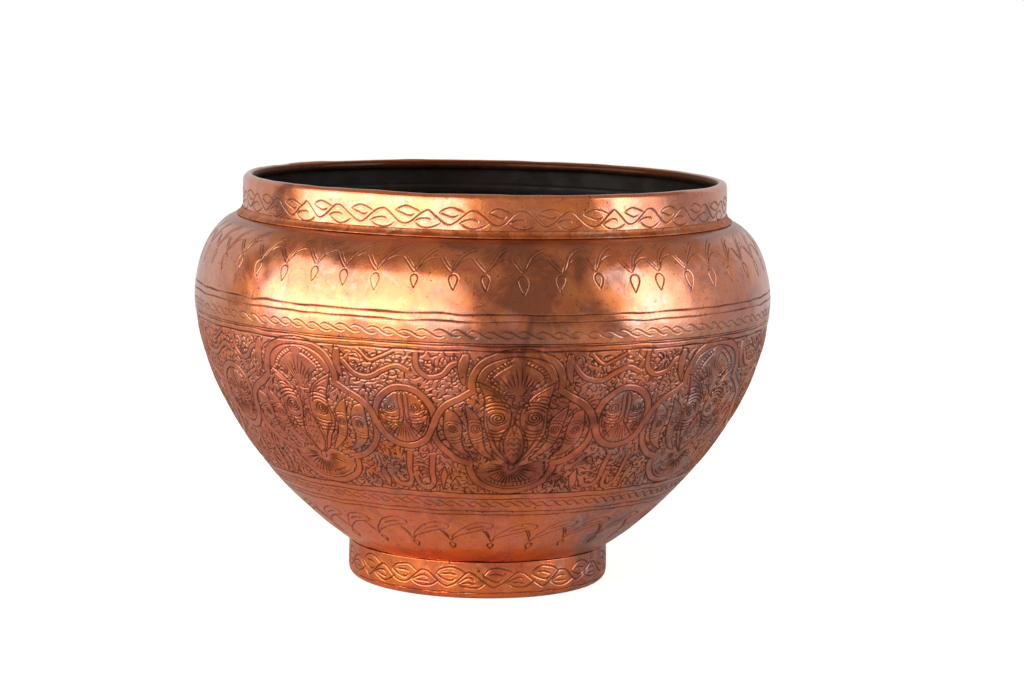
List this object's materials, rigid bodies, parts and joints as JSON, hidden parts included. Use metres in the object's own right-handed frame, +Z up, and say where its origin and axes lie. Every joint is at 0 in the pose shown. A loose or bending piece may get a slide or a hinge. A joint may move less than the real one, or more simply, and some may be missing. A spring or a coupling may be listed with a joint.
{
  "type": "engraved copper planter pot",
  "caption": "Round-bodied sheet copper pot with an upright collar, wired lip and ring foot, engraved all over, used as a planter or water bowl.",
  "frame": {"origin": "on the pot's axis, at the level of the surface that the foot stands on", "axes": "+Z up along the axis of rotation; the pot is round, so +X and +Y only fix where the engraved pattern starts"},
  "size_m": [0.33, 0.33, 0.2318],
  "materials": {
    "body_copper": null,
    "collar_copper": "brighter polished copper strip with dark engraved lines",
    "foot_copper": "orange copper strip with dark engraved lines and brown stains",
    "rim_iron": "dark iron wire, rusted",
    "solder": null
  },
  "bodies": {
    "root": {"foot_ring": "foot_copper", "foot_solder": "solder", "lower_bowl": "body_copper", "belly_solder": "solder", "shoulder_shell": "body_copper", "neck_solder": "solder", "neck_collar": "collar_copper", "rim_wire": "rim_iron"}
  },
  "joints": []
}
